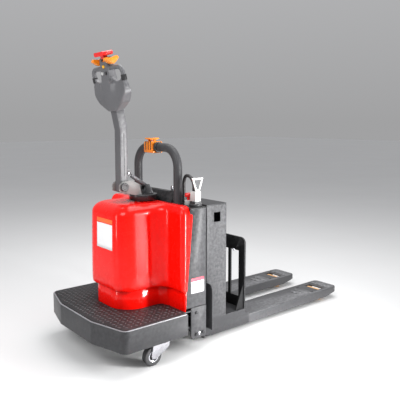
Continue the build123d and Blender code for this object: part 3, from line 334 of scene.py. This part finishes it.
def tube_mesh(name, path, radius, around=10, up=Vector((0, 0, 1))):
    """A tube of mesh along a list of points, with its ends closed."""
    bm = bmesh.new()
    rows = []
    for i, point in enumerate(path):
        ahead = (path[min(i + 1, len(path) - 1)] - path[max(i - 1, 0)]).normalized()
        side = ahead.cross(up)
        side = side.normalized() if side.length > 0.05 else ahead.cross(Vector((1, 0, 0))).normalized()
        over = side.cross(ahead).normalized()
        rows.append([bm.verts.new(point + side * math.cos(a) * radius + over * math.sin(a) * radius)
                     for a in circle_angles(around)])
    return closed_mesh(bm, rows, name)


def turned(name, centre, axis, profile, around=32):
    """A solid of revolution: profile is (distance along the axis, radius), first and last closed."""
    bm = bmesh.new()
    axis = Vector(axis).normalized()
    side = axis.orthogonal().normalized()
    over = axis.cross(side)
    rows = []
    for along, radius in profile:
        middle = Vector(centre) + axis * along
        rows.append([bm.verts.new(middle + (side * math.cos(a) + over * math.sin(a)) * radius)
                     for a in circle_angles(around)])
    return closed_mesh(bm, rows, name)


def screw(name, centre, axis, radius, body):
    """A bright button-head screw with a round socket, its underside at centre."""
    dome = [(0, radius), (radius * 0.25, radius * 0.98), (radius * 0.5, radius * 0.78),
            (radius * 0.6, radius * 0.5), (radius * 0.6, radius * 0.42), (radius * 0.2, radius * 0.4),
            (radius * 0.2, 0.0004)]
    make_object(name, turned(name, centre, axis, dome, 24), materials["bright"], body)


def both_sides(half, z):
    """A half outline and its mirror image as one line of points at a height."""
    return [Vector((p.x, -p.y, z)) for p in reversed(half[1:])] + [Vector((p.x, p.y, z)) for p in half]


# ------------------------------------------------------------------ CAD nodes
def dress_node(node, coat, edge):
    """Gives a CAD node its material and softened, light-catching edges."""
    thing = nodes[node]
    thing.data.materials.clear()
    thing.data.materials.append(coat)
    weld = thing.modifiers.new("weld", "WELD")
    weld.merge_threshold = 0.00002
    if edge:
        soften(thing, edge)
    for face in thing.data.polygons:
        face.use_smooth = True
    thing.data.set_sharp_from_angle(angle=math.radians(35))


def dress_nodes():
    """Finishes every CAD node from its slot, apart from a few with a coat of their own."""
    plain = {"battery_pack", "battery_cable", "hydraulic_unit", "controller"}
    usual = 0.0012
    wide = {"arch_pod": 0.004, "platform_deck": 0.002, "belly_button": 0.004, "throttle_paddles": 0.003,
            "tiller_arm": 0.003, "console": 0.002}
    # the backrest takes the near-black copy of the paint, as painted shade
    coats = {"tiller_bracket": "bracket", "fork_left": "fork_paint", "fork_right": "fork_paint",
             "load_backrest": "rack_shaded_black", "tiller_arm": "arm_coat", "turret_disc": "dark_steel",
             "chassis_bolts": "painted_black"}
    for part in frame["record"]["subparts"]:
        node = part["node"]
        coat = materials[coats.get(node, part["material_slot"])]
        dress_node(node, coat, 0.0 if node in plain else wide.get(node, usual))


# ------------------------------------------------------------------ hood
hood_low, hood_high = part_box("hood_shell")
skirt_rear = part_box("hood_skirt")[0].x
panel_low, panel_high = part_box("side_panels")
disc_low, disc_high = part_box("turret_disc")
turret_x = (disc_low.x + disc_high.x) / 2
hood_half = 0.188               # half width of the hood's tower
hood_ridge_x = skirt_rear + 0.242
hood_corner = 0.124             # plan radius of its rear corners
hood_hollow = 0.075             # plan radius where the tower meets the wings
wing_corner = 0.022
wing_lap = 0.0026               # how far the wings stand proud of the side panels
seam_ahead = 0.067              # top of the seam, ahead of the steering axis
seam_slope = 0.097
seam_turn = 0.019               # how far the seam turns back over the shoulder
seam_turn_height = 0.065
shoulder = 0.058
hood_sheet = 0.0035
hole_radius = 0.062


def seam_x(z):
    """Front edge of the hood at a height: it laps over the side panel, further towards its shoulder."""
    over = max(0.0, z - (hood_high.z - seam_turn_height)) / seam_turn_height
    return turret_x + seam_ahead - (hood_high.z - z) * seam_slope - seam_turn * over * over


def hood_row(z, rear, flank, ridge, band):
    """Points round the hood at a height, with its faces moved in by four distances."""
    front = seam_x(z)
    rear_x, ridge_x = hood_low.x + rear, hood_ridge_x + ridge
    side, outer = hood_half - flank, panel_high.y + wing_lap - band
    half = [(rear_x, 0), (rear_x, side), (ridge_x, side), (ridge_x, outer), (front, outer)]
    radii = [0, hood_corner - (rear + flank) * 0.35, hood_hollow + flank,
             max(wing_corner - ridge * 0.5, 0.006), 0]
    return both_sides(rounded(half, radii, 12), z)


def wall_taper(t):
    """How far the four faces lean in at a share of the wall's height."""
    return 0.004 * t * t, 0.006 * t * t, 0.002 * t, 0.001 * t


def outward_mesh(bm, walls, name):
    """The hood's mesh with its walls facing away from its middle and its top facing up."""
    bm.normal_update()
    middle = Vector((turret_x, 0, 0.5))
    outward = sum((face.calc_center_median() - middle).dot(face.normal) * face.calc_area()
                  for face in walls)
    for face in bm.faces:
        if outward < 0 if face in walls else face.normal.z < 0:
            face.normal_flip()
    mesh = bpy.data.meshes.new(name)
    bm.to_mesh(mesh)
    bm.free()
    return mesh


def make_hood():
    """The hood as one moulded sheet: a tucked lower lip, leaning walls, a rolled shoulder and a top."""
    levels = []
    base = hood_low.z
    top = hood_high.z
    lip = ((0.0, 0.0085), (0.001, 0.0062), (0.003, 0.0040), (0.007, 0.0018), (0.012, 0.0006))
    for rise, tuck in lip:
        levels.append((base + rise, tuck, tuck, tuck, tuck * 0.2))
    wall_steps = 9
    for n in range(1, wall_steps):
        t = n / wall_steps
        levels.append((base + (top - shoulder - base) * t, *wall_taper(t)))
    roll_steps = 12
    roll_run = (0.066, 0.052, 0.020, 0.044)
    for n in range(roll_steps + 1):
        a = math.radians(90) * n / roll_steps
        rise, run = math.sin(a), 1 - math.cos(a)
        moved = [lean + far * run for lean, far in zip(wall_taper(1), roll_run)]
        levels.append((top - shoulder * (1 - rise), *moved))
    bm = bmesh.new()
    rows = [[bm.verts.new(p) for p in hood_row(*level)] for level in levels]
    bridge(bm, rows, False)
    walls = set(bm.faces)
    last = rows[-1]
    closing = [bm.edges.new((last[-1], last[0]))]
    rim = [bm.edges.get((a, b)) for a, b in zip(last, last[1:])]
    ring = [bm.verts.new((turret_x + hole_radius * math.cos(a), hole_radius * math.sin(a), top))
            for a in circle_angles(40)]
    hole = [bm.edges.new((vertex, ring[i - 1])) for i, vertex in enumerate(ring)]
    bmesh.ops.triangle_fill(bm, edges=rim + closing + hole, use_beauty=True)
    mesh = outward_mesh(bm, walls, "hood_cover")
    hood = make_object("hood_cover", mesh, materials["hood_red"], "chassis", 30)
    sheet = hood.modifiers.new("sheet", "SOLIDIFY")
    sheet.thickness = hood_sheet
    sheet.offset = -1
    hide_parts("hood_shell")


def hood_patch(name, s_from, s_to, z_from, z_to, material):
    """A thin label that follows the hood's rear between two distances along its outline."""
    lift, film = 0.0007, 0.0004
    across, high = 24, 6

    def place(s, z):
        row = hood_row(z, *wall_taper((z - hood_low.z) / (hood_high.z - shoulder - hood_low.z)))
        step = 1 if s > 0 else -1
        i, left = len(row) // 2, abs(s)
        while left > (row[i + step] - row[i]).length:
            left -= (row[i + step] - row[i]).length
            i += step
        along = (row[i + step] - row[i]).normalized()
        out = Vector((-along.y, along.x, 0)) if step > 0 else Vector((along.y, -along.x, 0))
        return row[i] + along * left + out * lift

    bm = bmesh.new()
    rows = []
    for j in range(high + 1):
        z = z_from + (z_to - z_from) * j / high
        rows.append([bm.verts.new(place(s_from + (s_to - s_from) * i / across, z))
                     for i in range(across + 1)])
    bridge(bm, rows, False)
    patch = make_object(name, to_mesh(bm, name), material, "chassis")
    thick = patch.modifiers.new("film", "SOLIDIFY")
    thick.thickness = film
    thick.offset = 0


def panel_patch(name, y, z, material):
    """A thin plate on the side panel that faces -Y, between two heights."""
    thickness, corner = 0.0005, 0.0035
    rear, front = panel_high.x - 0.100, panel_high.x - 0.014
    bm = bmesh.new()
    outline = rounded([(rear, z[0]), (front, z[0]), (front, z[1]), (rear, z[1])], [corner], 5, True)
    rows = [[bm.verts.new((p.x, at, p.y)) for p in outline] for at in (y, y - thickness)]
    make_object(name, closed_mesh(bm, rows, name), material, "chassis")


def make_labels():
    """Blank labels on the hood's rear and the near side panel."""
    label_from, label_to = -0.098, 0.060
    hood_patch("rear_label", label_from, label_to, 0.556, 0.690, materials["label"])
    hood_patch("rear_label_strip", label_from, label_to, 0.694, 0.716, materials["label_orange"])
    panel_patch("panel_label", panel_low.y, (0.328, 0.394), materials["label"])
    panel_patch("panel_label_header", panel_low.y - 0.00005, (0.390, 0.408), materials["label_red"])


# ------------------------------------------------------------------ platform tread
tread_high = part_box("platform_tread")[1]
deck_low, deck_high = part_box("platform_deck")
tread_sides = [v.co.x for v in nodes["platform_tread"].data.vertices
               if abs(v.co.y) > tread_high.y - 0.002]
deck_front = max(tread_sides) + 0.009
skirt_inset = 0.013             # the skirt stands this far inside the hood's tower
stud_pitch = 0.0265
stud_height = 0.0019
stud_half_outline = [(-0.0098, 0), (-0.004, 0.0030), (0.003, 0.0036), (0.0078, 0.0024), (0.0092, 0)]


def platform_rim(inset):
    """Half outline of the platform from the middle of its rear edge forward."""
    outer = deck_high.y - inset
    rear = deck_low.x
    half = [(rear + inset, 0), (rear + inset, 0.170), (rear + 0.057 + inset, outer),
            (deck_front - inset, outer)]
    return rounded(half, [0, 0.060, max(0.038 - inset, 0.006), 0], 10)


def skirt_outline(grow):
    """Half of the hood skirt's plan, grown outwards."""
    rear, side = skirt_rear - grow, hood_half - skirt_inset + grow
    ridge, outer = deck_front - 0.003 - grow, panel_high.y + grow
    half = [(rear, 0), (rear, side), (ridge, side), (ridge, outer), (ridge + 0.2, outer)]
    return rounded(half, [0, 0.111, 0.050, 0.01, 0], 10)


def inside(point, outline):
    """True if a point lies in a closed outline."""
    x, y = point
    hit = False
    for i, p in enumerate(outline):
        q = outline[i - 1]
        if (p.y > y) != (q.y > y) and x < (q.x - p.x) * (y - p.y) / (q.y - p.y) + p.x:
            hit = not hit
    return hit


def add_stud(bm, x, y, lean):
    """One raised teardrop on the mat, its axis turned by lean."""
    c, s = math.cos(lean), math.sin(lean)
    outline = stud_half_outline + [(a, -b) for a, b in reversed(stud_half_outline[1:-1])]
    turned_outline = [(a * c - b * s, a * s + b * c) for a, b in outline]
    z = tread_high.z
    low = [bm.verts.new((x + a, y + b, z - 0.0002)) for a, b in turned_outline]
    top = [bm.verts.new((x + a * 0.6, y + b * 0.6, z + stud_height)) for a, b in turned_outline]
    bridge(bm, [low, top], True)
    bm.faces.new(top)


def make_tread():
    """Raised teardrops in alternate directions over the platform's mat, and the bead round its rim, coloured
    light grey as a painted highlight along the rim's edge.
    """
    area = both_sides(platform_rim(0.019), 0)
    hood = both_sides(skirt_outline(0.012), 0)
    bm = bmesh.new()
    columns = int((deck_front - deck_low.x) / stud_pitch) + 2
    lines = int(deck_high.y * 2 / stud_pitch) + 2
    for i in range(columns):
        for j in range(lines):
            x = deck_low.x + 0.012 + i * stud_pitch
            y = -deck_high.y + 0.010 + j * stud_pitch
            if inside((x, y), area) and not inside((x, y), hood):
                add_stud(bm, x, y, math.radians(45 if (i + j) % 2 else -45))
    make_object("tread_studs", to_mesh(bm, "tread_studs"), materials["stud"], "chassis", 50)
    # the bead's shape is real; its light grey colour is a painted highlight along the rim
    painted_highlight_bead = tube_mesh("deck_bead", both_sides(platform_rim(0.0045), deck_high.z), 0.0040)
    make_object("deck_bead", painted_highlight_bead, materials["painted_highlight_bead"], "chassis")


# ------------------------------------------------------------------ handle head
head_tilt = math.radians(14.5)
neck = Vector((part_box("tiller_arm")[0].x + 0.023, 0, 1.270))
head_out = Vector((math.cos(head_tilt), 0, math.sin(head_tilt)))
head_up = Vector((-math.sin(head_tilt), 0, math.cos(head_tilt)))
loop_radius = 0.012
head_swell = 0.007              # how far the shield's faces swell in their middle
head_voxel = 0.0022


def on_head(across, up, out=0.0):
    """A point given in the handle head's own directions."""
    return neck + Vector((0, across, 0)) + head_up * up + head_out * out


def share(value, start, length):
    """How far value is between start and start + length, from 0 to 1."""
    return min(1.0, max(0.0, (value - start) / length))


def crown_head(point):
    """Swells the shield's faces in their middle, thins it towards the loops and frees the button's slot."""
    local = point - neck
    up, out, across = local.dot(head_up), local.dot(head_out), point.y
    reach = min(1.0, math.hypot(across / 0.15, (up - 0.10) / 0.10))
    swell = head_swell * (1 - reach * reach)
    high = share(up, 0.075, 0.085)
    thin = 0.85 * high * high * (3 - 2 * high) * share(abs(across), 0.045, 0.030)
    spare = max(0.0, abs(out) - loop_radius) * thin
    seat = 0.0014 if up > 0.284 else 0.0
    if up > 0.270 and abs(across) < 0.0172 and abs(out) < 0.0140:
        point = point + Vector((0, math.copysign(0.0014, across), 0)) + head_out * math.copysign(0.0012, out)
        seat = 0.002
    return point + head_out * ((swell - spare) * (1 if out > 0 else -1)) - head_up * seat


def add_webs(bm):
    """Curved webs that carry the shield up into the loops and the column."""
    half_thickness = 0.009
    corners = [(0.030, 0.150), (0.030, 0.204), (0.046, 0.178), (0.090, 0.163), (0.124, 0.174),
               (0.1445, 0.206), (0.1445, 0.130)]
    plan = rounded(corners, [0.002, 0.002, 0.03, 0.06, 0.03, 0.002, 0.002], 6, True)
    for side in (-1, 1):
        rows = [[bm.verts.new(on_head(side * p.x, p.y, out)) for p in plan]
                for out in (-half_thickness, half_thickness)]
        bridge(bm, rows, True)
        bm.faces.new(rows[0])
        bm.faces.new(rows[1])


def make_head():
    """The handle head as one smooth moulding, remeshed from the CAD's head and its webs."""
    mesh = nodes["tiller_head"].data.copy()
    mesh.materials.clear()
    bm = bmesh.new()
    bm.from_mesh(mesh)
    add_webs(bm)
    bmesh.ops.recalc_face_normals(bm, faces=bm.faces)
    bm.to_mesh(mesh)
    bm.free()
    rough = bpy.data.objects.new("head_rough", mesh)
    scene.collection.objects.link(rough)
    remesh = rough.modifiers.new("voxels", "REMESH")
    remesh.mode = "VOXEL"
    remesh.voxel_size = head_voxel
    remesh.use_smooth_shade = True
    ease = rough.modifiers.new("ease", "SMOOTH")
    ease.factor = 0.5
    ease.iterations = 8
    graph = bpy.context.evaluated_depsgraph_get()
    moulded = bpy.data.meshes.new_from_object(rough.evaluated_get(graph))
    bpy.data.objects.remove(rough)
    for vertex in moulded.vertices:
        vertex.co = crown_head(vertex.co.copy())
    moulded.name = "head_moulding"
    head = make_object("head_moulding", moulded, materials["head_plastic"], "tiller", 60)
    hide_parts("tiller_head")


# ------------------------------------------------------------------ small fittings
def side_faces(box, right, left):
    """Names, outward directions and places of a box's two faces along Y."""
    return (right, -1, box[0].y), (left, 1, box[1].y)


def make_screws():
    """One bright screw on the near side plate and two on the backrest."""
    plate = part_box("side_plates")[0]
    screw("side_plate_screw", (plate.x + 0.055, plate.y + 0.0002, 0.104), (0, -1, 0), 0.0105, "chassis")
    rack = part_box("load_backrest")
    for name, side, y in side_faces(rack, "rack_screw_right", "rack_screw_left"):
        place = (rack[0].x + 0.0002, y - side * 0.028, rack[1].z - 0.062)
        screw(name, place, (-1, 0, 0), 0.007, "carriage")


def make_pivot_caps():
    """Black caps over the ends of the tiller's pivot pin."""
    pivot_x, pivot_z, pin_past_bracket = -0.640, 0.875, 0.006
    cap = [(0, 0.022), (0.004, 0.0235), (0.010, 0.0235), (0.0125, 0.021), (0.0125, 0.012),
           (0.0105, 0.010), (0.0105, 0.0005)]
    for name, side, y in side_faces(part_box("tiller_bracket"), "pivot_cap_right", "pivot_cap_left"):
        mesh = turned(name, (pivot_x, y - side * pin_past_bracket, pivot_z), (0, side, 0), cap)
        make_object(name, mesh, materials["black_plastic"], "turret")


def make_pod_trim():
    """Collars where the arch enters its pod, and grooves down the pod's rear."""
    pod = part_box("arch_pod")
    arch_low, arch_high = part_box("arch_bar")
    tube_z, arch_x = arch_high.z - 0.024, (arch_low.x + arch_high.x) / 2
    collar = [(0, 0.0242), (0, 0.0285), (0.002, 0.0305), (0.016, 0.0305), (0.018, 0.0285), (0.018, 0.0242)]
    for name, side, y in side_faces(pod, "pod_collar_right", "pod_collar_left"):
        mesh = turned(name, (arch_x, y, tube_z), (0, side, 0), collar)
        make_object(name, mesh, materials["black_plastic"], "chassis")
    for i in range(3):
        x, y = pod[0].x - 0.0003, pod[0].y + 0.020 + i * 0.024
        groove = [Vector((x, y, pod[0].z + 0.016)), Vector((x, y, pod[1].z - 0.014))]
        mesh = tube_mesh("pod_groove", groove, 0.0026, up=Vector((0, 1, 0)))
        make_object("pod_groove_%d" % i, mesh, materials["black_plastic"], "chassis")


def make_caster_rims():
    """A bright ring on each face of the caster wheels."""
    ring = [(0, 0.0235), (0.0012, 0.0250), (0.0012, 0.0292), (0, 0.0305), (-0.002, 0.0305),
            (-0.002, 0.0235)]
    for wheel in ("caster_wheel_left", "caster_wheel_right"):
        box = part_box(wheel)
        middle = (box[0] + box[1]) / 2
        for name, side, y in side_faces(box, wheel + "_rim_out", wheel + "_rim_in"):
            mesh = turned(name, (middle.x, y, middle.z), (0, side, 0), ring)
            make_object(name, mesh, materials["bright"], wheel)


add_camera()
add_stage(materials["floor"])
dress_nodes()
make_hood()
make_labels()
make_tread()
make_head()
make_screws()
make_pivot_caps()
make_pod_trim()
make_caster_rims()
